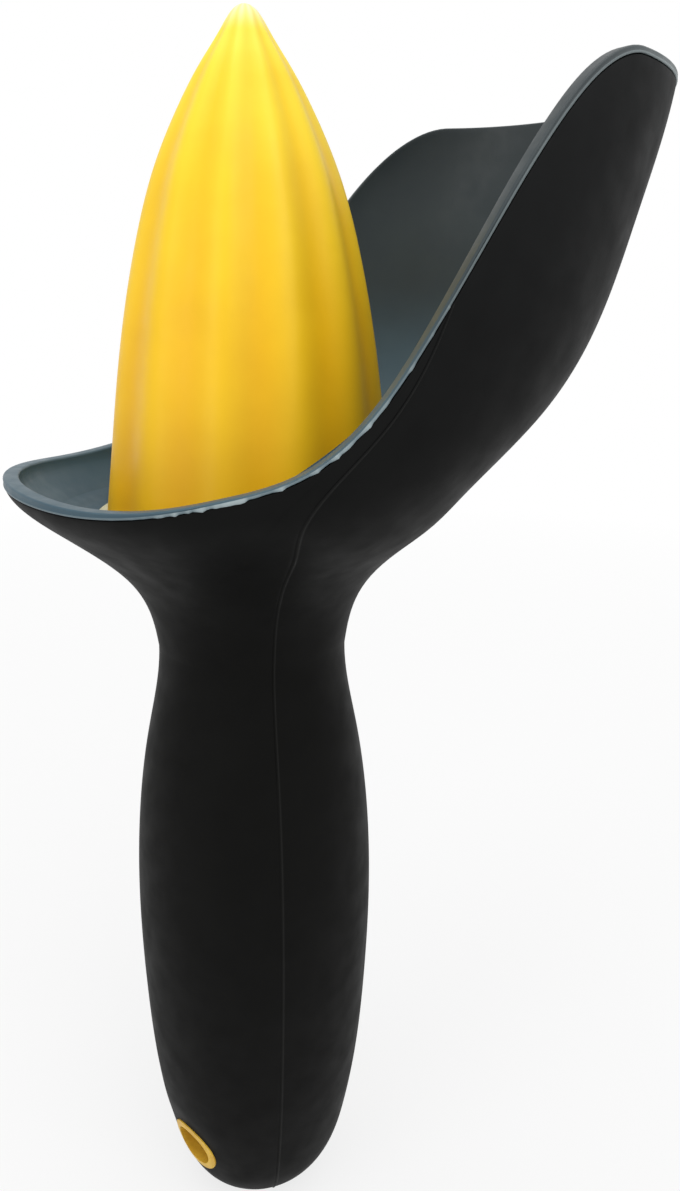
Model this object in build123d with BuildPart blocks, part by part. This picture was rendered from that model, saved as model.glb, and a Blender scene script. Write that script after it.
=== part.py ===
from build123d import *
import os
from math import cos, pi, sin

# Hand-held citrus reamer. Z is the axis of the cone and the handle, +X points to the tall wing,
# and the origin is the centre of the hanging hole.

# Handle
hole_to_neck = 85.3
hole_to_butt_end = 14.3
neck_radius = 13.8
belly_radius = 18.5
# (share of the grip's length below the neck, share of the way from neck to belly radius)
shoulder_shares = ((0.14, 0.455), (0.28, 0.865), (0.42, 1.0))
# (share of the grip's length below the neck, share of the belly radius)
taper_shares = ((0.58, 0.98), (0.72, 0.926), (0.84, 0.83), (0.93, 0.67), (0.98, 0.395))

# Scoop
lip_above_neck = 24.0
lip_shift = -1.2
gutter_width = 11.15
wing_radius = 34.8
crown_above_neck = 83.6
crown_shift = 32.4
# (share of the lip's height, share of the way from neck to lip radius, share of the lip's shift)
flare_shares = ((0.25, 0.07, 0.06), (0.47, 0.235, 0.22), (0.655, 0.49, 0.43), (0.81, 0.75, 0.66))
# (share of the way from lip to crown, share of the way from lip to crown shift, share of the wing radius)
wing_shares = (
    (0.175, 0.229, 0.978),
    (0.375, 0.424, 1.0),
    (0.6, 0.564, 0.991),
    (0.8, 0.744, 0.921),
    (1.0, 1.0, 0.752),
)

# Rim, seen from the side
rim_front_above_neck = 26.1
rim_top_above_neck = 76.35
climb_start_x = -33.0
climb_end_x = 40.0
# (share of the climb's run, share of its rise)
climb_shares = (
    (0.096, -0.014),
    (0.205, -0.003),
    (0.315, 0.032),
    (0.425, 0.082),
    (0.52, 0.185),
    (0.616, 0.383),
    (0.719, 0.634),
    (0.822, 0.842),
    (0.911, 0.957),
)
# (X, Z) of the rim's direction at the front of the pouring lip
front_slope_shares = (1.0, -0.14)
# Width of the cap that the inner shell lays over the cover's edge, and its (X, Z) shift as shares of it
rim_cap = 0.8
cap_shift_shares = (0.55, -0.85)

# Walls of the layers, and the gap that they are modelled apart
grip_wall = 2.2
scoop_cover_wall = 1.0
liner_wall = 1.0
floor_wall = 2.2
core_wall = 2.4
bond_gap = 0.05

# Bowl floor, seal and cone
floor_above_neck = 19.2
seal_thickness = 0.8
seal_reach = 1.2
cone_foot_radius = 20.35
cone_height = 63.6
cone_wall = 2.4
flute_count = 12
flute_depth = 0.75
flute_phase = 6.5
# (share of the cone's height, share of its foot radius, share of the flute depth)
cone_shares = (
    (0.0, 1.0, 1.0),
    (0.15, 0.942, 1.0),
    (0.3, 0.882, 1.0),
    (0.44, 0.809, 1.0),
    (0.57, 0.718, 0.95),
    (0.69, 0.603, 0.85),
    (0.8, 0.448, 0.65),
    (0.89, 0.286, 0.4),
    (0.955, 0.15, 0.2),
)

# Spigot and socket
web_reach = 4.6
spigot_length = 15.0
spigot_wall = 2.6
bore_draft = 1.2
bore_above_hole = 8.0
funnel_post_wall = 2.2
funnel_pocket_depth = 4.5
socket_clearance = 0.1
socket_wall = 1.6
socket_length = 16.0
web_pairs = 3
web_thickness = 1.6
snap_bead = 0.35
snap_bead_above_foot = 9.0

# Hanging hole
hang_hole_radius = 3.5
# Degrees that the hole's axis is turned from the X axis towards +Y
hang_hole_turn = 30.0
hang_lining_wall = 1.2
lining_recess = 0.15

# Overrun of every cut past the surface that it opens
overrun = 5.0

neck_z = hole_to_neck
butt_z = -hole_to_butt_end
grip_length = neck_z - butt_z
floor_z = neck_z + floor_above_neck
deck_z = floor_z - floor_wall
foot_z = floor_z + seal_thickness
tip_z = foot_z + cone_height
lip_radius = cone_foot_radius + gutter_width
seal_outer_radius = cone_foot_radius + seal_reach
lining_radius = hang_hole_radius + hang_lining_wall
socket_radius = cone_foot_radius - cone_wall - web_reach - socket_wall
spigot_radius = socket_radius - socket_clearance
spigot_bore_radius = spigot_radius - spigot_wall
neck_bore_radius = neck_radius - grip_wall - core_wall
spigot_top_z = foot_z + spigot_length
bead_z = foot_z + snap_bead_above_foot

os.makedirs("parts", exist_ok=True)


def grip_outline(inset):
    """Half outline of the handle, (radius, z) from the neck to the butt end, moved in by inset."""
    points = [(neck_radius - inset, neck_z)]
    for depth, swell in shoulder_shares:
        radius = neck_radius + swell * (belly_radius - neck_radius)
        points.append((radius - inset, neck_z - depth * grip_length))
    end_z = butt_z + inset
    for depth, swell in taper_shares:
        points.append((swell * belly_radius - inset, neck_z - depth * (neck_z - end_z)))
    points.append((0, end_z))
    return points


def grip_solid(inset):
    """The handle below the neck as one full solid, moved in by inset."""
    points = grip_outline(inset)
    with BuildPart() as grip:
        with BuildSketch(Plane.XZ):
            with BuildLine():
                Spline(*points, tangents=[(0, -1), (-1, 0)])
                Line(points[-1], (0, neck_z))
                Line((0, neck_z), points[0])
            make_face()
        revolve(axis=Axis.Z)
    return grip.part


def scoop_sections(neck_inset, lip_inset):
    """Circles of the scoop from the neck to the crown, as (z, centre x, radius)."""
    sections = [(neck_z, 0, neck_radius - neck_inset)]
    for climb, flare, shift in flare_shares:
        inset = neck_inset + climb * (lip_inset - neck_inset)
        radius = neck_radius + flare * (lip_radius - neck_radius)
        sections.append((neck_z + climb * lip_above_neck, shift * lip_shift, radius - inset))
    sections.append((neck_z + lip_above_neck, lip_shift, lip_radius - lip_inset))
    wing_height = crown_above_neck - lip_above_neck
    for climb, shift, spread in wing_shares:
        z = neck_z + lip_above_neck + climb * wing_height
        centre_x = lip_shift + shift * (crown_shift - lip_shift)
        sections.append((z, centre_x, spread * wing_radius - lip_inset))
    return sections


def scoop_solid(neck_inset, lip_inset):
    """The neck, bowl and wing as one full solid, moved in by the insets and not yet trimmed."""
    with BuildPart() as scoop:
        for z, centre_x, radius in scoop_sections(neck_inset, lip_inset):
            with BuildSketch(Plane.XY.offset(z)):
                with Locations((centre_x, 0)):
                    Circle(radius)
        loft()
    return scoop.part


def above_rim(drop):
    """Everything above the rim line lowered by drop, seen from the side, as wide as the scoop."""
    cap_x, cap_z = cap_shift_shares
    start_x = climb_start_x + cap_x * drop
    start_z = neck_z + rim_front_above_neck + cap_z * drop
    run_length = climb_end_x - climb_start_x
    rise_height = rim_top_above_neck - rim_front_above_neck
    climb = [(start_x, start_z)]
    for run, rise in climb_shares:
        climb.append((start_x + run * run_length, start_z + rise * rise_height))
    climb.append((start_x + run_length, start_z + rise_height))
    slope_x, slope_z = front_slope_shares
    far_x = crown_shift + wing_radius + overrun
    near_x = start_x - overrun
    near_z = start_z - overrun * slope_z / slope_x
    high_z = neck_z + crown_above_neck + overrun
    with BuildPart() as cutter:
        with BuildSketch(Plane.XZ):
            with BuildLine():
                Spline(*climb, tangents=[front_slope_shares, (1, 0)])
                Polyline(
                    climb[-1],
                    (far_x, start_z + rise_height),
                    (far_x, high_z),
                    (near_x, high_z),
                    (near_x, near_z),
                    climb[0],
                )
            make_face()
        extrude(amount=wing_radius + overrun, both=True)
    return cutter.part


def disc(radius, low_z, high_z):
    """A plain disc about the Z axis."""
    with BuildPart() as body:
        with BuildSketch(Plane.XY.offset(low_z)):
            Circle(radius)
        extrude(amount=high_z - low_z)
    return body.part


def ring(inner_radius, outer_radius, low_z, high_z):
    """A plain ring about the Z axis."""
    with BuildPart() as body:
        with BuildSketch(Plane.XY.offset(low_z)):
            Circle(outer_radius)
            Circle(inner_radius, mode=Mode.SUBTRACT)
        extrude(amount=high_z - low_z)
    return body.part


def turned(points):
    """A solid turned about the Z axis from a closed half outline of (radius, z) points."""
    with BuildPart() as body:
        with BuildSketch(Plane.XZ):
            with BuildLine():
                Polyline(*points, close=True)
            make_face()
        revolve(axis=Axis.Z)
    return body.part


def bead(radius, height):
    """A three-sided bead about the Z axis at the snap's height, standing height proud of radius."""
    root_radius = radius - height
    return turned(
        [
            (root_radius, bead_z - 2 * height),
            (radius + height, bead_z),
            (root_radius, bead_z + 2 * height),
        ]
    )


def cross_rod(radius):
    """A level rod on the hanging hole's axis, longer than the handle is wide."""
    turn = hang_hole_turn * pi / 180
    with BuildPart() as rod:
        with BuildSketch(Plane(origin=(0, 0, 0), z_dir=(cos(turn), sin(turn), 0))):
            Circle(radius)
        extrude(amount=belly_radius + overrun, both=True)
    return rod.part


def bowl_hollow():
    """The open space of the scoop above its floor."""
    with BuildPart() as hollow:
        add(scoop_solid(grip_wall + liner_wall, scoop_cover_wall + liner_wall))
        add(disc(wing_radius, neck_z - overrun, floor_z), mode=Mode.SUBTRACT)
    return hollow.part


def funnel():
    """The flared head of the core up to the deck, with a ring pocket round its middle post."""
    post_radius = spigot_radius + funnel_post_wall
    with BuildPart() as pocket:
        add(scoop_solid(grip_wall + core_wall, scoop_cover_wall + core_wall))
        add(disc(wing_radius, neck_z - overrun, deck_z - funnel_pocket_depth), mode=Mode.SUBTRACT)
        add(disc(post_radius, neck_z, deck_z), mode=Mode.SUBTRACT)
    with BuildPart() as head:
        add(scoop_solid(grip_wall + bond_gap, scoop_cover_wall + bond_gap))
        add(pocket.part, mode=Mode.SUBTRACT)
        with BuildSketch(Plane.XY.offset(deck_z)):
            with Locations((crown_shift / 2, 0)):
                Circle(crown_shift + wing_radius + overrun)
        extrude(amount=crown_above_neck, mode=Mode.SUBTRACT)
    return head.part


def fluted_section(radius, depth):
    """Points of one cross-section of the cone: ridges with soft hollows between them."""
    points_per_flute = 4
    count = flute_count * points_per_flute
    points = []
    for step in range(count):
        turn = 2 * pi * step / count
        local_radius = radius - depth * (1 - cos(flute_count * turn)) / 2
        angle = turn + flute_phase * pi / 180
        points.append((local_radius * cos(angle), local_radius * sin(angle)))
    return points


def cone_round(inset):
    """The cone without its flutes, moved in by inset, as one full solid."""
    top_z = tip_z - 2 * inset
    outline = []
    for climb, swell, _ in cone_shares:
        radius = swell * cone_foot_radius - inset
        z = foot_z + climb * cone_height
        if radius > 0 and z < top_z:
            outline.append((radius, z))
    with BuildPart() as body:
        with BuildSketch(Plane.XZ):
            with BuildLine():
                Spline(*outline, (0, top_z))
                Polyline((0, top_z), (0, foot_z), outline[0])
            make_face()
        revolve(axis=Axis.Z)
    return body.part


def cone_fluted():
    """The cone's outside with its flutes, closed by a rounded tip."""
    with BuildPart() as body:
        for climb, swell, fade in cone_shares:
            with BuildSketch(Plane.XY.offset(foot_z + climb * cone_height)):
                with BuildLine():
                    Spline(*fluted_section(swell * cone_foot_radius, fade * flute_depth), periodic=True)
                make_face()
        loft()
        climb, swell, fade = cone_shares[-1]
        shoulder = (swell * cone_foot_radius - fade * flute_depth, foot_z + climb * cone_height)
        with BuildSketch(Plane.XZ):
            with BuildLine():
                Spline(shoulder, (0, tip_z), tangents=[(-1, 2), (-1, 0)])
                Polyline((0, tip_z), (0, shoulder[1]), shoulder)
            make_face()
        revolve(axis=Axis.Z)
    return body.part


# Black soft overmould of the handle, the neck and the outside of the scoop
with BuildPart() as grip_cover:
    add(grip_solid(0))
    add(scoop_solid(0, 0))
    add(grip_solid(grip_wall), mode=Mode.SUBTRACT)
    add(scoop_solid(grip_wall, scoop_cover_wall), mode=Mode.SUBTRACT)
    add(above_rim(rim_cap + bond_gap), mode=Mode.SUBTRACT)
    add(cross_rod(lining_radius + bond_gap), mode=Mode.SUBTRACT)
grip_cover.part.label = "grip_cover"
export_step(grip_cover.part, "parts/grip_cover.step")

# Slate inner shell of the bowl and the wing, with a floor round the spigot and a cap on the rim
with BuildPart() as cap:
    add(scoop_solid(0, 0))
    add(above_rim(rim_cap), mode=Mode.INTERSECT)
with BuildPart() as scoop_liner:
    add(scoop_solid(grip_wall + bond_gap, scoop_cover_wall + bond_gap))
    add(cap.part)
    add(bowl_hollow(), mode=Mode.SUBTRACT)
    add(disc(wing_radius, neck_z - overrun, deck_z), mode=Mode.SUBTRACT)
    add(disc(socket_radius, deck_z, floor_z), mode=Mode.SUBTRACT)
    add(above_rim(0), mode=Mode.SUBTRACT)
scoop_liner.part.label = "scoop_liner"
export_step(scoop_liner.part, "parts/scoop_liner.step")

# Stiff yellow core: handle, funnel, spigot with its snap bead, and the boss of the hanging hole
with BuildPart() as lining:
    add(grip_solid(lining_recess))
    add(cross_rod(lining_radius), mode=Mode.INTERSECT)
with BuildPart() as handle_core:
    add(grip_solid(grip_wall + bond_gap))
    add(funnel())
    add(disc(spigot_radius, deck_z, spigot_top_z))
    add(bead(spigot_radius, snap_bead))
    bore_outline = [
        (0, bore_above_hole),
        (neck_bore_radius - bore_draft, bore_above_hole),
        (neck_bore_radius, deck_z - funnel_pocket_depth),
        (spigot_bore_radius, deck_z),
        (spigot_bore_radius, spigot_top_z),
        (0, spigot_top_z),
    ]
    add(turned(bore_outline), mode=Mode.SUBTRACT)
    add(lining.part)
    add(cross_rod(hang_hole_radius), mode=Mode.SUBTRACT)
handle_core.part.label = "handle_core"
export_step(handle_core.part, "parts/handle_core.step")

# Pale seal ring between the bowl's floor and the cone's foot
with BuildPart() as cone_seal:
    add(ring(socket_radius, seal_outer_radius, floor_z, foot_z))
cone_seal.part.label = "cone_seal"
export_step(cone_seal.part, "parts/cone_seal.step")

# Yellow fluted cone: thin wall, socket with a snap groove, and webs between them
with BuildPart() as webs:
    with BuildSketch(Plane.XY.offset(foot_z)):
        with PolarLocations(0, web_pairs, angular_range=180):
            Rectangle(2 * cone_foot_radius, web_thickness)
    extrude(amount=socket_length - socket_wall)
    add(cone_round(cone_wall / 2), mode=Mode.INTERSECT)
with BuildPart() as reamer_cone:
    add(cone_fluted())
    add(cone_round(cone_wall), mode=Mode.SUBTRACT)
    add(webs.part)
    add(ring(socket_radius, socket_radius + socket_wall, foot_z, foot_z + socket_length))
    add(disc(socket_radius, foot_z, foot_z + socket_length), mode=Mode.SUBTRACT)
    add(bead(socket_radius, snap_bead), mode=Mode.SUBTRACT)
reamer_cone.part.label = "reamer_cone"
export_step(reamer_cone.part, "parts/reamer_cone.step")
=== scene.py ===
from math import cos, pi, radians, sin

import bmesh
import bpy
import numpy as np
from mathutils import Matrix, Vector


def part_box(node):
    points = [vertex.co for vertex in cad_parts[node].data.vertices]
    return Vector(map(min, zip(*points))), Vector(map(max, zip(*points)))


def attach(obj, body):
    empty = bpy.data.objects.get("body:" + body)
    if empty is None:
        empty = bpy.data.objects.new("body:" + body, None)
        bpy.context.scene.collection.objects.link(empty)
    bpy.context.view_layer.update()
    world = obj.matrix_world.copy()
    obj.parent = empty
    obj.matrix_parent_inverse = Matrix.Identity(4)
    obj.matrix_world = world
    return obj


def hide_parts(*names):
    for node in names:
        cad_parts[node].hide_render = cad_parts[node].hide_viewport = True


# A hand-held citrus reamer: fluted cone, open scoop with one tall wing, and a soft handle.
# Lengths are in millimetres until a mesh is made. A rise is a height above the neck.
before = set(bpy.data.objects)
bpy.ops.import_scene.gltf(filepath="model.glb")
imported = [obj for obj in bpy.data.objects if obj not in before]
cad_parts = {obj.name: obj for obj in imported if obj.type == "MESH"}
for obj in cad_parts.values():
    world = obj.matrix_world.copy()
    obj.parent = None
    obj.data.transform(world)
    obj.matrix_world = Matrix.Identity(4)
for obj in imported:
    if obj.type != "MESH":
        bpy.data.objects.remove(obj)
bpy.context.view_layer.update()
MM = 0.001


def node_box(node):
    """Lowest and highest corner of a node of the frame, in millimetres."""
    low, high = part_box(node)
    return np.array(low) / MM, np.array(high) / MM


# Handle
butt_z = node_box("grip_cover")[0][2]
neck_z = 85.3
neck_radius = 13.8
belly_radius = 18.5
# (share of the grip's length below the neck, share of the way from neck to belly radius)
shoulder_shares = ((0.14, 0.455), (0.28, 0.865), (0.42, 1.0))
# (share of the grip's length below the neck, share of the belly radius)
taper_shares = ((0.58, 0.98), (0.72, 0.926), (0.84, 0.83), (0.93, 0.67), (0.98, 0.395))

# Scoop
lip_rise = 24.0
lip_shift = -1.2
lip_radius = 31.5
wing_radius = 34.8
crown_rise = 83.6
crown_shift = 32.4
# (share of the lip's rise, share of the way from neck to lip radius, share of the lip's shift)
flare_shares = ((0.25, 0.07, 0.06), (0.47, 0.235, 0.22), (0.655, 0.49, 0.43), (0.81, 0.75, 0.66))
# (share of the way from lip to crown, share of the way from lip to crown shift,
# share of the wing radius)
wing_shares = (
    (0.175, 0.229, 0.978),
    (0.375, 0.424, 1.0),
    (0.6, 0.564, 0.991),
    (0.8, 0.744, 0.921),
    (1.0, 1.0, 0.752),
)

# Rim, seen from the side
rim_front = 26.1
rim_top = node_box("scoop_liner")[1][2] - neck_z
climb_start_x = -33.0
climb_end_x = 40.0
# (share of the climb's run, share of its rise)
climb_shares = (
    (0.096, -0.014),
    (0.205, -0.003),
    (0.315, 0.032),
    (0.425, 0.082),
    (0.52, 0.185),
    (0.616, 0.383),
    (0.719, 0.634),
    (0.822, 0.842),
    (0.911, 0.957),
)
front_slope = (1.0, -0.14)
# (share of the rim's length from the spout to the crest, depth of the cap on the outside)
cap_shares = ((0.0, 1.3), (0.1, 1.2), (0.22, 0.7), (0.6, 0.65), (0.8, 0.9), (1.0, 1.0))
rim_outer_round = 0.28
rim_inner_round = 0.3
seam_gap = 0.12
seam_round = 0.12
# Bead over the seam: its height, where its top ends and where it is gone, as seam rounds above
# the seam, and the inset there
seam_bead = 0.08
bead_top = 2.0
bead_foot = 2.6
bead_foot_inset = 0.02

# Walls, as insets from the outside at the neck and at the lip
cover_walls = (2.2, 1.0)
liner_outer_insets = (2.25, 1.05)
liner_inner_insets = (3.2, 2.0)

# Bowl floor, seal and cone
deck_rise = node_box("scoop_liner")[0][2] - neck_z
floor_rise = node_box("cone_seal")[0][2] - neck_z
floor_round = 1.2
# Run of the fillet over the floor, in floor rounds
floor_fillet_run = 1.6
seal_inner_radius = 11.75
seal_outer_radius = node_box("cone_seal")[1][0]
foot_z = node_box("reamer_cone")[0][2]
tip_z = node_box("reamer_cone")[1][2]
cone_foot_radius = 20.35
foot_round = 0.35
# Middle point of the rounded foot edge, as a share of its radius from each face
foot_middle = 0.3
flute_count = 12
flute_depth = 0.75
flute_phase = 6.5
# (share of the cone's height, share of its foot radius, share of the flute depth)
cone_shares = (
    (0.0, 1.0, 1.0),
    (0.15, 0.942, 1.0),
    (0.3, 0.882, 1.0),
    (0.44, 0.809, 1.0),
    (0.57, 0.718, 0.95),
    (0.69, 0.603, 0.85),
    (0.8, 0.448, 0.65),
    (0.89, 0.286, 0.4),
    (0.955, 0.15, 0.2),
)
socket_length = 16.0

# Hanging hole: opening in the cover, its turn from +X towards +Y in degrees, and the dish of the
# cover round it
hole_radius = 4.75
hole_turn = 30.0
hole_dish_depth = 0.35
hole_dish_width = 2.6

# Parting line of the cover: columns beside it and how near an even column may lie, in degrees,
# its ridge, the groove on its spout side, and the length over which both fade in from the butt end
parting_steps = (-1.7, -1.35, -1.0, -0.7, -0.4, -0.2, 0.0, 0.2, 0.4, 0.7, 1.0, 1.35, 1.7)
parting_clear = 1.95
parting_height = 0.12
parting_width = 0.38
groove_depth = 0.08
groove_place = 1.0
parting_fade_in = 12

# Flash on one side of the cap: shares of half a turn between which it lies and over which it
# comes and goes, its mean, spread and most, the columns in a coarse step of it, and how far it
# hangs and stands out where it is 1
flash_from = 0.45
flash_to = 0.82
flash_rise = 0.2
flash_fall = 0.08
flash_mean = 0.35
flash_spread = 0.35
flash_most = 1.3
flash_block = 5
flash_drop = 0.2
flash_swell = 0.1
flash_seed = 7

# Paleness of the cap's side and of its flash, and a painted highlight near the wing's tip, which
# has a place and a width in shares of the rim's length and goes on weaker over the rim's outer
# round
side_white = 0.25
flash_white = 0.55
highlight_white = 0.3
highlight_place = 0.84
highlight_width = 0.08
highlight_above = 0.8

# Steps over which slopes are measured, in millimetres or radians, and points along the rim line
tangent_step = 0.01
slope_step = 0.1
profile_points = 4000
crest_points = 200

# Places along the handle's outline from the butt end: the cover's first ring, where its close
# rings end, and the last ring of the bore inside it
first_ring = 0.5
close_rings_end = 38
bore_end = 2.5

# Meshes: columns round the cover and the scoop, rings along their parts, sides of round forms
even_columns = 288
butt_rings = 84
grip_rings = 60
cover_rings = 72
bore_rings = 40
hidden_rings = 30
bowl_rings = 90
fillet_rings = 6
corner_steps = 5
rod_sides = 96
# Half the length of the bar that cuts the hanging hole, in belly radiuses
rod_reach = 1.5
seal_sides = 192
seal_edge_rings = 9
flute_columns = 24
cone_rings = 129
# Rings of the cone crowd together towards its tip by this power
cone_crowding = 1.5
# Edges of the cut piece are shaded sharp above this many degrees
sharp_angle = 50

# Camera of the photograph: its place, its angles in degrees, and its focus, the picture's height
# and the axis's height above the picture's middle in pixels
camera_place = (-27.35, -127.36, 132.62)
camera_azimuth = 17.846
camera_elevation = 16.834
camera_roll = 0.935
camera_focus = 917.2
image_height = 1191
axis_above_middle = 6.4

# Stage, in metres: half the floor's side, and the distances between which what the camera sees
# of it goes from shaded to plain white, with the share of white at each
floor_half = 3.0
white_from, white_to = 0.08, 0.6
white_near, white_far = 0.75, 1.0
# Strength of the world as a light and as a background
world_light = 0.6
world_seen = 1.0


def add_camera():
    """The camera where the photograph was taken from."""
    turn, tilt, roll = radians(camera_azimuth), radians(camera_elevation), radians(camera_roll)
    forward = Vector((sin(turn) * cos(tilt), cos(turn) * cos(tilt), -sin(tilt)))
    level = Vector((cos(turn), -sin(turn), 0))
    upright = level.cross(forward)
    right = level * cos(roll) + upright * sin(roll)
    up = upright * cos(roll) - level * sin(roll)
    data = bpy.data.cameras.new("camera")
    data.sensor_fit = "VERTICAL"
    data.lens = data.sensor_height * camera_focus / image_height
    data.shift_y = -axis_above_middle / image_height
    data.clip_start = 0.005
    camera = bpy.data.objects.new("camera", data)
    rotation = Matrix((right, up, -forward)).transposed().to_4x4()
    camera.matrix_world = Matrix.Translation(Vector(camera_place) * MM) @ rotation
    bpy.context.scene.collection.objects.link(camera)
    bpy.context.scene.camera = camera


def spline(at, values, start=None, end=None):
    """A smooth curve through values at places, with its end slopes if they are fixed."""
    at = np.asarray(at, float)
    values = np.asarray(values, float).reshape(len(at), -1)
    gaps = np.diff(at)
    steps = np.diff(values, axis=0) / gaps[:, None]
    matrix = np.zeros((len(at), len(at)))
    right = np.zeros_like(values)
    for i in range(1, len(at) - 1):
        matrix[i, i - 1 : i + 2] = gaps[i], 2 * (gaps[i - 1] + gaps[i]), gaps[i - 1]
        right[i] = 3 * (gaps[i] * steps[i - 1] + gaps[i - 1] * steps[i])
    matrix[0, :2] = (2, 1) if start is None else (1, 0)
    right[0] = 3 * steps[0] if start is None else start
    matrix[-1, -2:] = (1, 2) if end is None else (0, 1)
    right[-1] = 3 * steps[-1] if end is None else end
    slopes = np.linalg.solve(matrix, right)

    def curve(place):
        place = np.asarray(place, float)
        i = np.clip(np.searchsorted(at, place, side="right") - 1, 0, len(at) - 2)
        gap = gaps[i][..., None]
        u = (place - at[i])[..., None] / gap
        first = (2 * u**3 - 3 * u**2 + 1) * values[i] + (u**3 - 2 * u**2 + u) * gap * slopes[i]
        last = (3 * u**2 - 2 * u**3) * values[i + 1] + (u**3 - u**2) * gap * slopes[i + 1]
        return first + last

    return curve


def along(points):
    """Distance along a line of points, from its first point."""
    steps = np.linalg.norm(np.diff(np.asarray(points, float), axis=0), axis=1)
    return np.concatenate([[0], np.cumsum(steps)])


def grip_knots():
    """Points (radius, z) of the handle's outline from the butt end to the neck."""
    length = neck_z - butt_z
    knots = [(neck_radius, neck_z)]
    for depth, swell in shoulder_shares:
        knots.append((neck_radius + swell * (belly_radius - neck_radius), neck_z - depth * length))
    for depth, swell in taper_shares:
        knots.append((swell * belly_radius, neck_z - depth * length))
    knots.append((0, butt_z))
    return np.array(knots[::-1])


def scoop_knots():
    """Circles (rise, centre x, radius) of the scoop from the neck to the crown."""
    knots = [(0, 0, neck_radius)]
    for climb, flare, shift in flare_shares:
        radius = neck_radius + flare * (lip_radius - neck_radius)
        knots.append((climb * lip_rise, shift * lip_shift, radius))
    knots.append((lip_rise, lip_shift, lip_radius))
    for climb, shift, spread in wing_shares:
        rise = lip_rise + climb * (crown_rise - lip_rise)
        centre_x = lip_shift + shift * (crown_shift - lip_shift)
        knots.append((rise, centre_x, spread * wing_radius))
    return np.array(knots)


grip_points = grip_knots()
grip_length = along(grip_points)[-1]
grip_curve = spline(along(grip_points), grip_points, start=(1, 0), end=(0, 1))
scoop_circles = scoop_knots()
scoop_curve = spline(scoop_circles[:, 0], scoop_circles[:, 1:])


def by_rise(insets, rise):
    """A wall's inset at a rise, between its values at the neck and at the lip."""
    at_neck, at_lip = insets
    return at_neck + (at_lip - at_neck) * np.clip(rise / lip_rise, 0, 1)


def scoop_point(turn, rise, inset=0.0):
    """Points of the scoop's surface, moved in towards the middle of their circle by inset."""
    centre_x, radius = np.moveaxis(scoop_curve(rise), -1, 0)
    radius = radius - inset
    return np.stack([centre_x + radius * np.cos(turn), radius * np.sin(turn), neck_z + rise], -1)


def grip_point(turn, place, inset=0.0):
    """Points of the handle at a place along its outline, moved in square to it by inset."""
    radius, z = grip_curve(place)
    ahead = grip_curve(np.minimum(place + tangent_step, grip_length))
    behind = grip_curve(np.maximum(place - tangent_step, 0))
    slope_r, slope_z = (ahead - behind) / np.linalg.norm(ahead - behind)
    radius = radius - inset * slope_z
    z = z + inset * slope_r
    return np.stack([radius * np.cos(turn), radius * np.sin(turn), z + 0 * turn], -1)


def rim_line():
    """Half of the rim as dense points (turn, rise), from the spout round to the wing's crest."""
    climb = [(climb_start_x, rim_front)]
    for run, rise in climb_shares:
        x = climb_start_x + run * (climb_end_x - climb_start_x)
        climb.append((x, rim_front + rise * (rim_top - rim_front)))
    climb.append((climb_end_x, rim_top))
    places = along(climb)
    start = np.array(front_slope) / np.hypot(*front_slope)
    curve = spline(places, climb, start=start, end=(1, 0))
    profile = curve(np.linspace(0, places[-1], profile_points))
    centre_x, radius = scoop_curve(profile[:, 1]).T
    cosine = (profile[:, 0] - centre_x) / radius
    crosses = np.abs(cosine) < 1
    turns = np.arccos(cosine[crosses])
    rises = profile[crosses, 1]
    crest = np.linspace(turns[-1], 0, crest_points)[1:]
    rises = np.concatenate([rises[:1], rises, np.full(len(crest), rim_top)])
    return np.concatenate([[pi], turns, crest]), rises


def column_turns():
    """Angles of the cover's and the scoop's columns, closer at the parting line and the flash."""
    even = np.linspace(-pi, pi, even_columns, endpoint=False)
    flash = even + pi / even_columns
    flash = flash[(flash < -flash_from * pi) & (flash > -flash_to * pi)]
    even = np.concatenate([even, flash])
    middle = pi / 2
    keep = np.abs(np.abs(even) - middle) > radians(parting_clear)
    close = radians(1) * np.array(parting_steps)
    return np.sort(np.concatenate([even[keep], close - middle, close + middle]))


columns = column_turns()
side = np.where(columns < 0, -1, 1)
beside = np.degrees(np.abs(columns)) - 90
parting_line = np.exp(-((beside / parting_width) ** 2))
parting_ridge = parting_height * parting_line
parting_ridge -= groove_depth * np.exp(-(((beside - groove_place) / parting_width) ** 2))


def rim_ends():
    """Turn, rise and share of the rim's length at each column; the parting line stays square."""
    turns, rises = rim_line()
    lengths = along(scoop_point(turns, rises))
    lengths /= lengths[-1]
    middle = np.interp(-pi / 2, -turns, lengths)
    share = np.interp(np.abs(columns), [0, pi / 2, pi], [1, middle, 0])
    return side * np.interp(share, lengths, turns), np.interp(share, lengths, rises), share


rim_turns, rim_rises, rim_share = rim_ends()
cap_depth = spline(*np.array(cap_shares).T)(rim_share)[:, 0]


def below_rim(depth):
    """The turn and rise of each column at a depth below the rim, square to it along the wall."""
    point = scoop_point(rim_turns, rim_rises)
    run = np.roll(point, -1, axis=0) - np.roll(point, 1, axis=0)
    step = tangent_step
    around = scoop_point(rim_turns + step, rim_rises) - scoop_point(rim_turns - step, rim_rises)
    upward = scoop_point(rim_turns, rim_rises + step) - scoop_point(rim_turns, rim_rises - step)
    rise_way = np.cross(np.cross(around, upward), run)
    rise_way /= np.linalg.norm(rise_way, axis=1)[:, None]
    lower = point - np.reshape(depth, (-1, 1)) * rise_way
    rise = lower[:, 2] - neck_z
    centre_x = scoop_curve(rise)[:, 0]
    return side * np.arctan2(np.abs(lower[:, 1]), lower[:, 0] - centre_x), rise


def rim_ring(depth, inset, lift=0.0):
    """A ring at a depth below the rim and an inset from the outside, pushed out by lift."""
    turn, rise = below_rim(depth)
    return scoop_point(turn, rise, inset - lift)


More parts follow.
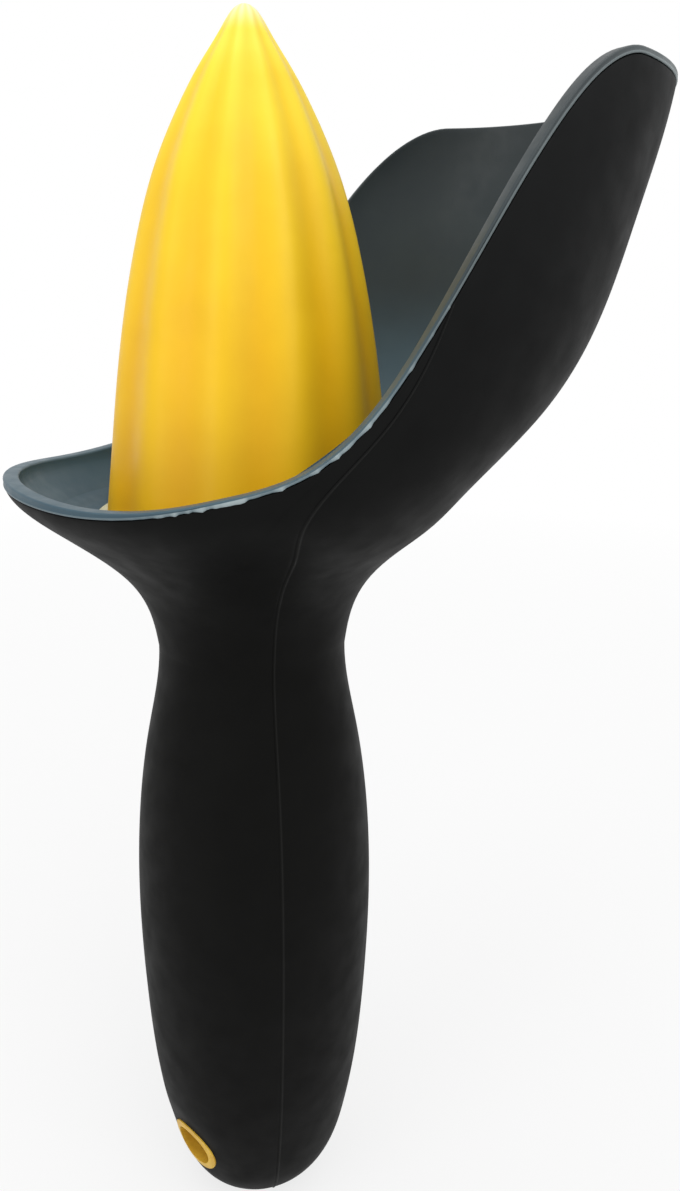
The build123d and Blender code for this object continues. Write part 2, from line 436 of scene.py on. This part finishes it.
def wall_rings(top_depth, insets, bottom_rise, count, ridge=0.0):
    """Rings of a wall from bottom_rise up to a depth below the rim."""
    top_turn, top_rise = below_rim(top_depth)
    rings = []
    for u in np.linspace(0, 1, count):
        share = u * u * (3 - 2 * u)
        turn = columns + share * (top_turn - columns)
        rise = bottom_rise + u * (top_rise - bottom_rise)
        rings.append(scoop_point(turn, rise, by_rise(insets, rise) - ridge))
    return rings


def quarter(start, corner, end, count=4):
    """Points round a corner from start to end, as (depth, inset) pairs."""
    start, corner, end = np.array(start), np.array(corner), np.array(end)
    pairs = []
    for t in np.linspace(0, pi / 2, count + 1):
        pairs.append(corner + (start - corner) * (1 - sin(t)) + (end - corner) * (1 - cos(t)))
    return pairs


def skin(name, rings, first_pole=None, last_pole=None, loop=False):
    """A closed mesh through rings of points, ended by poles or joined end to end."""
    count = len(rings[0])
    verts = np.concatenate([np.asarray(r, float).reshape(-1, 3) for r in rings])
    pairs = list(zip(range(len(rings)), range(1, len(rings))))
    if loop:
        pairs.append((len(rings) - 1, 0))
    faces = []
    for a, b in pairs:
        for k in range(count):
            n = (k + 1) % count
            faces.append((a * count + k, a * count + n, b * count + n, b * count + k))
    if first_pole is not None:
        verts = np.vstack([verts, first_pole])
        pole = len(verts) - 1
        faces += [(pole, (k + 1) % count, k) for k in range(count)]
    if last_pole is not None:
        verts = np.vstack([verts, last_pole])
        pole = len(verts) - 1
        base = (len(rings) - 1) * count
        faces += [(pole, base + k, base + (k + 1) % count) for k in range(count)]
    mesh = bpy.data.meshes.new(name)
    mesh.from_pydata(verts * MM, [], faces)
    shape = bmesh.new()
    shape.from_mesh(mesh)
    bmesh.ops.recalc_face_normals(shape, faces=shape.faces)
    shape.to_mesh(mesh)
    shape.free()
    mesh.shade_smooth()
    piece = bpy.data.objects.new(name, mesh)
    bpy.context.scene.collection.objects.link(piece)
    return piece


def cut(piece, tool):
    """Cuts the tool out of the piece and removes the tool."""
    modifier = piece.modifiers.new("cut", "BOOLEAN")
    modifier.operation = "DIFFERENCE"
    modifier.solver = "EXACT"
    modifier.object = tool
    graph = bpy.context.evaluated_depsgraph_get()
    mesh = bpy.data.meshes.new_from_object(piece.evaluated_get(graph))
    piece.modifiers.clear()
    old = piece.data
    piece.data = mesh
    bpy.data.meshes.remove(old)
    bpy.data.objects.remove(tool)
    mesh.name = piece.name
    mesh.set_sharp_from_angle(angle=radians(sharp_angle))


def hole_dish(points):
    """How far each point of the handle is sunk round the hanging hole's openings."""
    turn = radians(hole_turn)
    across = points[:, 1] * cos(turn) - points[:, 0] * sin(turn)
    outside = np.maximum(np.hypot(across, points[:, 2]) - hole_radius, 0)
    return hole_dish_depth * np.exp(-((outside / hole_dish_width) ** 2))


def hole_rod():
    """A round bar through the hanging hole."""
    turns = np.linspace(0, 2 * pi, rod_sides, endpoint=False)
    axis = np.array((cos(radians(hole_turn)), sin(radians(hole_turn)), 0))
    across = np.array((-axis[1], axis[0], 0))
    ways = np.outer(np.cos(turns), across) + np.outer(np.sin(turns), (0, 0, 1))
    circle = hole_radius * ways
    reach = rod_reach * belly_radius * axis
    return skin("hole_rod", [circle - reach, circle + reach], -reach, reach)


def soft_grip():
    """The black overmould: handle, neck and the outside of the scoop, open at the hanging hole."""
    rings = []
    butt = np.linspace(first_ring, close_rings_end, butt_rings, endpoint=False)
    grip = np.linspace(close_rings_end, grip_length, grip_rings, endpoint=False)
    for place in np.concatenate([butt, grip]):
        surface = grip_point(columns, place)
        fade = min(1, place / parting_fade_in)
        rings.append(grip_point(columns, place, hole_dish(surface) - fade * parting_ridge))
    edge = cap_depth + seam_gap
    rings += wall_rings(edge + seam_round, (0, 0), 0, cover_rings, parting_ridge)
    for drop, inset in quarter((seam_round, 0), (0, 0), (0, seam_round))[1:]:
        rings.append(rim_ring(edge + drop, inset))
    wall = cover_walls[1]
    rings.append(rim_ring(edge, wall - seam_round))
    rings += wall_rings(edge + seam_round, cover_walls, 0, hidden_rings)[::-1]
    for place in np.linspace(grip_length, bore_end, bore_rings)[1:]:
        rings.append(grip_point(columns, place, cover_walls[0]))
    piece = skin("soft_grip", rings, (0, 0, butt_z), (0, 0, butt_z + cover_walls[0]))
    # The parting line's share is stored for its painted highlight
    mark(piece, "parting_line", np.tile(parting_line, (len(rings), 1)))
    cut(piece, hole_rod())
    return piece


def rim_flash():
    """How ragged the cap's lower edge is at each column, on one side of the spout only."""
    share = np.abs(columns) / pi
    fine, coarse = np.random.default_rng(flash_seed).normal(size=(2, len(columns)))
    steps = np.repeat(coarse[::flash_block], flash_block)[: len(columns)]
    rough = fine + np.roll(fine, 1) + steps
    rise = np.clip((share - flash_from) / flash_rise, 0, 1)
    fall = np.clip((flash_to - share) / flash_fall, 0, 1)
    ragged = np.clip(flash_mean + flash_spread * rough, 0, flash_most)
    return np.where(columns < 0, rise * fall * ragged, 0)


def inner_scoop():
    """The slate inner shell: floor, wall, and the cap that covers the rim down to the seam."""
    wall = liner_inner_insets[1]
    flash = rim_flash()
    rings = [rim_ring(cap_depth, liner_outer_insets[1])]
    rings.append(rim_ring(cap_depth, seam_round))
    for drop, inset in quarter((0, seam_round), (0, 0), (-seam_round, 0)):
        depth = cap_depth + drop + flash_drop * flash
        rings.append(rim_ring(depth, inset, seam_bead + flash_swell * flash))
    rings.append(rim_ring(cap_depth - bead_top * seam_round, 0, seam_bead))
    side_end = len(rings)
    rings.append(rim_ring(cap_depth - bead_foot * seam_round, bead_foot_inset))
    outer = quarter((rim_outer_round, 0), (0, 0), (0, rim_outer_round), corner_steps)
    inner = quarter(
        (0, wall - rim_inner_round), (0, wall), (rim_inner_round, wall), corner_steps
    )
    for depth, inset in outer + inner:
        rings.append(rim_ring(depth, inset))
    low = floor_rise + floor_round
    wall_down = wall_rings(rim_inner_round, liner_inner_insets, low, bowl_rings)[::-1]
    rings += wall_down[1:]
    rings += floor_rings(wall_down[-1], low)
    deck_radius = scoop_curve(np.array(deck_rise))[1] - by_rise(liner_outer_insets, deck_rise)
    for radius in (seal_inner_radius, deck_radius):
        rings.append(ring_at(radius, neck_z + deck_rise, columns))
    rings += wall_rings(cap_depth, liner_outer_insets, deck_rise, hidden_rings)[1:-1]
    piece = skin("inner_scoop", rings, loop=True)
    pale_and_highlight = np.zeros((len(rings), len(columns)))
    # Painted highlight near the wing's tip on the cap's side, weaker over its outer round; the
    # cap's side and its flash are paler
    painted_highlight = highlight_white * np.exp(-(((rim_share - highlight_place) / highlight_width) ** 2))
    pale_and_highlight[2:side_end] = side_white + painted_highlight + flash_white * np.clip(flash, 0, 1)
    pale_and_highlight[side_end : side_end + len(outer)] = highlight_above * painted_highlight
    mark(piece, "edge_white_and_highlight", pale_and_highlight)
    return piece


def floor_rings(wall_foot, low):
    """Rings from the foot of the scoop's wall round its fillet and over the floor."""
    foot_radius = np.hypot(wall_foot[:, 0], wall_foot[:, 1]).mean()
    slope = scoop_curve(np.array(low))[1] - scoop_curve(np.array(low - slope_step))[1]
    corner = foot_radius - (low - floor_rise) * slope / slope_step
    rings = []
    start = np.array((foot_radius, neck_z + low))
    middle = np.array((corner, neck_z + floor_rise))
    end = np.array((corner - floor_fillet_run * floor_round, neck_z + floor_rise))
    for u in np.linspace(0, 1, fillet_rings + 1)[1:]:
        radius, z = (1 - u) ** 2 * start + 2 * u * (1 - u) * middle + u**2 * end
        rings.append(ring_at(radius, z, columns))
    for radius in (seal_outer_radius, seal_inner_radius):
        rings.append(ring_at(radius, neck_z + floor_rise, columns))
    return rings


def mark(piece, name, values):
    """Stores a value at each point of the piece's rings, and 0 at its poles."""
    whole = np.zeros(len(piece.data.vertices), np.float32)
    whole[: values.size] = values.ravel()
    piece.data.attributes.new(name, "FLOAT", "POINT").data.foreach_set("value", whole)


def fluted_cone():
    """The yellow cone with its flutes, rounded foot edge and socket."""
    height = tip_z - foot_z
    shares = np.array(cone_shares)
    outline = np.column_stack([shares[:, 1] * cone_foot_radius, foot_z + shares[:, 0] * height])
    outline = np.vstack([outline, (0, tip_z)])
    places = along(outline)
    curve = spline(places, outline, end=(-1, 0))
    fade = spline(shares[:, 0], shares[:, 2])
    last_share, last_fade = shares[-1, 0], shares[-1, 2]
    count = flute_count * flute_columns
    turns = 2 * pi * np.arange(count) / count + radians(flute_phase)
    hollow = np.sin(flute_count * (turns - radians(flute_phase)) / 2) ** 2
    rings = []
    for place in places[-1] * (1 - np.linspace(0.0, 1, cone_rings + 1)[1:] ** cone_crowding):
        radius, z = curve(place)
        share = (z - foot_z) / height
        if share < last_share:
            depth = flute_depth * fade(share)[0]
        else:
            depth = flute_depth * (last_fade * (1 - share) / (1 - last_share))
        rings.append(ring_at(radius - depth * hollow, z, turns))
    foot = rings.pop()
    middle = foot_middle * foot_round
    for pull, lift in ((0, foot_round), (middle, middle), (foot_round, 0)):
        radius = np.hypot(foot[:, 0], foot[:, 1]) - pull
        rings.append(ring_at(radius, foot_z + lift, turns))
    rings.append(ring_at(0 * turns + seal_inner_radius, foot_z, turns))
    rings.append(ring_at(0 * turns + seal_inner_radius, foot_z + socket_length, turns))
    piece = skin("fluted_cone", rings, (0, 0, tip_z), (0, 0, foot_z + socket_length))
    # The flutes' hollows are stored for their painted shade
    mark(piece, "flute_shade", np.tile(hollow, (len(rings), 1)))
    return piece


def ring_at(radius, z, turns):
    """A ring of points about the axis at a height."""
    return np.stack([radius * np.cos(turns), radius * np.sin(turns), 0 * turns + z], -1)


def seal_ring():
    """The pale seal between the bowl's floor and the cone's foot, with a rounded outer edge."""
    turns = np.linspace(0, 2 * pi, seal_sides, endpoint=False)
    low, high = neck_z + floor_rise, foot_z
    middle, half = (low + high) / 2, (high - low) / 2
    rings = [ring_at(0 * turns + seal_inner_radius, z, turns) for z in (high, low)]
    for t in np.linspace(-pi / 2, pi / 2, seal_edge_rings):
        radius = seal_outer_radius - half + half * cos(t)
        rings.append(ring_at(0 * turns + radius, middle + half * sin(t), turns))
    return skin("seal_ring", rings, loop=True)


class Paint:
    """A material's nodes, added and joined one after another."""

    def __init__(self, name):
        self.material = bpy.data.materials.new(name)
        self.material.use_nodes = True
        self.nodes = self.material.node_tree.nodes
        self.links = self.material.node_tree.links
        self.shader = self.nodes["Principled BSDF"]
        self.place = self.nodes.new("ShaderNodeTexCoord").outputs["Object"]

    def noise(self, size_mm, detail=3.0, stretch=(1, 1, 1)):
        """Noise from 0 to 1 whose grains are about size_mm wide."""
        mapping = self.nodes.new("ShaderNodeMapping")
        mapping.inputs["Scale"].default_value = [s / (size_mm * MM) for s in stretch]
        self.links.new(self.place, mapping.inputs["Vector"])
        texture = self.nodes.new("ShaderNodeTexNoise")
        texture.inputs["Scale"].default_value = 1.0
        texture.inputs["Detail"].default_value = detail
        self.links.new(mapping.outputs["Vector"], texture.inputs["Vector"])
        return texture.outputs["Fac"]

    def stored(self, name):
        """The value that mark() stored in the mesh under a name."""
        node = self.nodes.new("ShaderNodeAttribute")
        node.attribute_name = name
        return node.outputs["Fac"]

    def height(self, low_z, high_z):
        """0 at low_z and 1 at high_z, in millimetres of the frame."""
        split = self.nodes.new("ShaderNodeSeparateXYZ")
        self.links.new(self.place, split.inputs["Vector"])
        return self.spread(split.outputs["Z"], low_z * MM, high_z * MM, 0, 1)

    def spread(self, value, from_low, from_high, low, high):
        """The value moved from one range to another."""
        node = self.nodes.new("ShaderNodeMapRange")
        self.links.new(value, node.inputs["Value"])
        names = ("From Min", "From Max", "To Min", "To Max")
        for name, number in zip(names, (from_low, from_high, low, high)):
            node.inputs[name].default_value = number
        return node.outputs["Result"]

    def ramp(self, value, stops):
        """A colour for each value, from (position, colour) stops."""
        node = self.nodes.new("ShaderNodeValToRGB")
        node.color_ramp.interpolation = "EASE"
        while len(node.color_ramp.elements) < len(stops):
            node.color_ramp.elements.new(0.5)
        for element, (position, colour) in zip(node.color_ramp.elements, stops):
            element.position = position
            element.color = (*colour, 1)
        self.links.new(value, node.inputs["Fac"])
        return node.outputs["Color"]

    def mix(self, share, first, second, kind="MIX"):
        """Two colours mixed by a share."""
        node = self.nodes.new("ShaderNodeMix")
        node.data_type = "RGBA"
        node.blend_type = kind
        for index, value in ((0, share), (6, first), (7, second)):
            socket = node.inputs[index]
            if isinstance(value, bpy.types.NodeSocket):
                self.links.new(value, socket)
            else:
                socket.default_value = value if isinstance(value, float) else (*value, 1)
        return node.outputs[2]

    def bump(self, value, height_mm, below=None):
        """A bump of a height, laid over another bump."""
        node = self.nodes.new("ShaderNodeBump")
        node.inputs["Distance"].default_value = height_mm * MM
        node.inputs["Strength"].default_value = 1.0
        self.links.new(value, node.inputs["Height"])
        if below is not None:
            self.links.new(below, node.inputs["Normal"])
        return node.outputs["Normal"]

    def finish(self, colour, roughness, normal, specular):
        """Joins colour, roughness and bump to the shader, and sets its specular level."""
        self.links.new(colour, self.shader.inputs["Base Color"])
        self.links.new(roughness, self.shader.inputs["Roughness"])
        self.links.new(normal, self.shader.inputs["Normal"])
        self.shader.inputs["Specular IOR Level"].default_value = specular
        return self.material


def yellow_plastic():
    """Satin moulded plastic, mostly painted light: golden and darker at the foot in the scoop's
    shade, lemon towards the lit tip, a painted highlight at the very tip, and painted shade in the
    flutes' hollows.
    """
    paint = Paint("yellow_plastic")
    # Mostly painted light: golden and darker at the foot in the scoop's shade, lemon higher up
    # where the light falls, and a painted highlight at the tip
    stops = (
        (0.0, (0.88, 0.495, 0.011)),
        (0.3, (0.93, 0.56, 0.015)),
        (0.62, (0.94, 0.625, 0.023)),
        (0.85, (0.94, 0.7, 0.037)),
        (0.94, (0.94, 0.76, 0.065)),
        (1.0, (0.97, 0.93, 0.52)),
    )
    colour = paint.ramp(paint.height(foot_z, tip_z), stops)
    mottle = paint.ramp(paint.noise(9.0), ((0.3, (0.95, 0.93, 0.9)), (0.7, (1, 1, 1))))
    colour = paint.mix(1.0, colour, mottle, "MULTIPLY")
    # Painted shade: the flutes' hollows are darkened
    colour = paint.mix(paint.stored("flute_shade"), colour, (0.97, 0.89, 0.6), "MULTIPLY")
    roughness = paint.spread(paint.noise(3.0), 0.3, 0.7, 0.36, 0.46)
    normal = paint.bump(paint.noise(0.35, 4.0), 0.004)
    normal = paint.bump(paint.noise(2.5, 2.0, (1, 1, 0.15)), 0.02, normal)
    return paint.finish(colour, roughness, normal, 0.22)


def core_plastic():
    """The handle core's golden plastic at the hanging hole, darkened to orange-brown as painted
    shade inside the hole.
    """
    paint = Paint("core_plastic")
    # Painted shade: orange-brown and darker than the cone's yellow, as the core lies in the hole's
    # shade
    stops = ((0.3, (0.62, 0.36, 0.03)), (0.7, (0.74, 0.47, 0.05)))
    colour = paint.ramp(paint.noise(2.0), stops)
    roughness = paint.spread(paint.noise(1.0), 0.3, 0.7, 0.4, 0.55)
    normal = paint.bump(paint.noise(0.3, 4.0), 0.006)
    return paint.finish(colour, roughness, normal, 0.3)


def slate_plastic():
    """Fine satin plastic whose slate tone is partly painted light on a lining lit from above,
    lighter and bluer low in the bowl as painted light, paler along the cap's side and flash, with
    a painted highlight near the wing's tip.
    """
    paint = Paint("slate_plastic")
    # Painted light and reflection: lighter and bluer low in the bowl, where the floor faces up to
    # the light, and darker up the inside of the wing
    stops = (
        (0.0, (0.042, 0.084, 0.112)),
        (0.28, (0.055, 0.1, 0.124)),
        (0.6, (0.026, 0.038, 0.042)),
        (1.0, (0.021, 0.029, 0.032)),
    )
    colour = paint.ramp(paint.height(neck_z + floor_rise, neck_z + rim_top), stops)
    mottle = paint.ramp(paint.noise(6.0), ((0.3, (0.88, 0.9, 0.93)), (0.7, (1, 1, 1))))
    colour = paint.mix(1.0, colour, mottle, "MULTIPLY")
    # Paler along the cap's side and its flash, and a painted highlight near the wing's tip
    colour = paint.mix(paint.stored("edge_white_and_highlight"), colour, (0.34, 0.4, 0.41))
    roughness = paint.spread(paint.noise(2.0), 0.3, 0.7, 0.38, 0.5)
    normal = paint.bump(paint.noise(0.22, 4.0), 0.006)
    return paint.finish(colour, roughness, normal, 0.3)


def black_soft_grip():
    """Matte soft-touch elastomer with a fine grain and faint scuffs, darkest at the butt and
    lighter up the wing as painted light, and with a painted highlight along the parting line.
    """
    paint = Paint("black_soft_grip")
    # Painted light: darkest at the butt and lighter up towards the wing's top, where more light
    # falls
    stops = (
        (0.0, (0.001, 0.001, 0.001)),
        (0.1, (0.0036, 0.0036, 0.0034)),
        (0.55, (0.0045, 0.0045, 0.0041)),
        (1.0, (0.0085, 0.009, 0.0092)),
    )
    colour = paint.ramp(paint.height(butt_z, neck_z + rim_top), stops)
    mottle = paint.ramp(paint.noise(7.0, 5.0), ((0.25, (0.82, 0.82, 0.82)), (0.75, (1, 1, 1))))
    colour = paint.mix(1.0, colour, mottle, "MULTIPLY")
    # Painted highlight: a lighter line along the parting line's ridge
    parting_highlight = paint.spread(paint.stored("parting_line"), 0, 1, 0, 0.45)
    colour = paint.mix(parting_highlight, colour, (0.022, 0.022, 0.021))
    roughness = paint.spread(paint.noise(4.0, 5.0), 0.3, 0.7, 0.5, 0.62)
    normal = paint.bump(paint.noise(0.18, 3.0), 0.008)
    normal = paint.bump(paint.noise(5.0, 2.0), 0.04, normal)
    return paint.finish(colour, roughness, normal, 0.06)


def pale_seal():
    """Pale silicone with a waxy sheen."""
    paint = Paint("pale_seal")
    stops = ((0.3, (0.56, 0.54, 0.33)), (0.7, (0.66, 0.64, 0.42)))
    colour = paint.ramp(paint.noise(2.0), stops)
    roughness = paint.spread(paint.noise(1.0), 0.3, 0.7, 0.35, 0.45)
    normal = paint.bump(paint.noise(0.3, 3.0), 0.006)
    return paint.finish(colour, roughness, normal, 0.4)


def dress(piece, material, node):
    """Puts a finished piece in place of its node of the frame."""
    piece.data.materials.clear()
    piece.data.materials.append(material)
    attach(piece, "root")
    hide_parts(node)


def seen_directly(tree):
    """1 for rays from the camera, a reflection or glass, and 0 for the light itself."""
    path = tree.nodes.new("ShaderNodeLightPath")
    value = path.outputs["Is Camera Ray"]
    for name in ("Is Glossy Ray", "Is Transmission Ray"):
        add = tree.nodes.new("ShaderNodeMath")
        add.operation = "MAXIMUM"
        tree.links.new(value, add.inputs[0])
        tree.links.new(path.outputs[name], add.inputs[1])
        value = add.outputs[0]
    return value


def add_floor():
    """A plain pale floor under the butt end."""
    half, z = floor_half, butt_z * MM
    mesh = bpy.data.meshes.new("floor")
    corners = [(-half, -half, z), (half, -half, z), (half, half, z), (-half, half, z)]
    mesh.from_pydata(corners, [], [(0, 1, 2, 3)])
    floor = bpy.data.objects.new("floor", mesh)
    bpy.context.scene.collection.objects.link(floor)
    material = bpy.data.materials.new("floor")
    material.use_nodes = True
    tree = material.node_tree
    shader = tree.nodes["Principled BSDF"]
    shader.inputs["Base Color"].default_value = (0.82, 0.82, 0.82, 1)
    shader.inputs["Roughness"].default_value = 0.9
    shader.inputs["Specular IOR Level"].default_value = 0.1
    glow = tree.nodes.new("ShaderNodeEmission")
    place = tree.nodes.new("ShaderNodeTexCoord").outputs["Object"]
    distance = tree.nodes.new("ShaderNodeVectorMath")
    distance.operation = "LENGTH"
    tree.links.new(place, distance.inputs[0])
    fade = tree.nodes.new("ShaderNodeMapRange")
    fade.inputs["From Min"].default_value = white_from
    fade.inputs["From Max"].default_value = white_to
    fade.inputs["To Min"].default_value = white_near
    fade.inputs["To Max"].default_value = white_far
    tree.links.new(distance.outputs["Value"], fade.inputs["Value"])
    share = tree.nodes.new("ShaderNodeMath")
    share.operation = "MULTIPLY"
    tree.links.new(fade.outputs["Result"], share.inputs[1])
    tree.links.new(seen_directly(tree), share.inputs[0])
    mix = tree.nodes.new("ShaderNodeMixShader")
    tree.links.new(share.outputs[0], mix.inputs[0])
    tree.links.new(shader.outputs[0], mix.inputs[1])
    tree.links.new(glow.outputs[0], mix.inputs[2])
    tree.links.new(mix.outputs[0], tree.nodes["Material Output"].inputs["Surface"])
    mesh.materials.append(material)


def add_world():
    """A soft even light from all round, on a white background."""
    world = bpy.data.worlds.new("world")
    bpy.context.scene.world = world
    world.use_nodes = True
    tree = world.node_tree
    background = tree.nodes["Background"]
    background.inputs["Color"].default_value = (1, 1, 1, 1)
    strength = tree.nodes.new("ShaderNodeMapRange")
    strength.inputs["To Min"].default_value = world_light
    strength.inputs["To Max"].default_value = world_seen
    tree.links.new(seen_directly(tree), strength.inputs["Value"])
    tree.links.new(strength.outputs["Result"], background.inputs["Strength"])


def add_lamp(name, place, target, size, power):
    """A square soft lamp at a place, turned to a target, both in millimetres."""
    data = bpy.data.lights.new(name, "AREA")
    data.shape = "SQUARE"
    data.size = size * MM
    data.energy = power
    lamp = bpy.data.objects.new(name, data)
    lamp.location = Vector(place) * MM
    aim = (Vector(target) - Vector(place)).normalized()
    lamp.rotation_euler = aim.to_track_quat("-Z", "Y").to_euler()
    bpy.context.scene.collection.objects.link(lamp)


add_camera()
dress(soft_grip(), black_soft_grip(), "grip_cover")
dress(inner_scoop(), slate_plastic(), "scoop_liner")
dress(fluted_cone(), yellow_plastic(), "reamer_cone")
dress(seal_ring(), pale_seal(), "cone_seal")
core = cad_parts["handle_core"]
core.data.materials.clear()
core.data.materials.append(core_plastic())
add_world()
add_floor()
add_lamp("top_lamp", (-80, -160, 1000), (10, 0, 110), 900, 4.2)
add_lamp("front_lamp", (170, -500, 560), (0, 0, 110), 460, 1.35)
add_lamp("left_lamp", (-480, -260, 300), (0, 0, 110), 300, 0.6)
bpy.context.scene.view_settings.view_transform = "Standard"
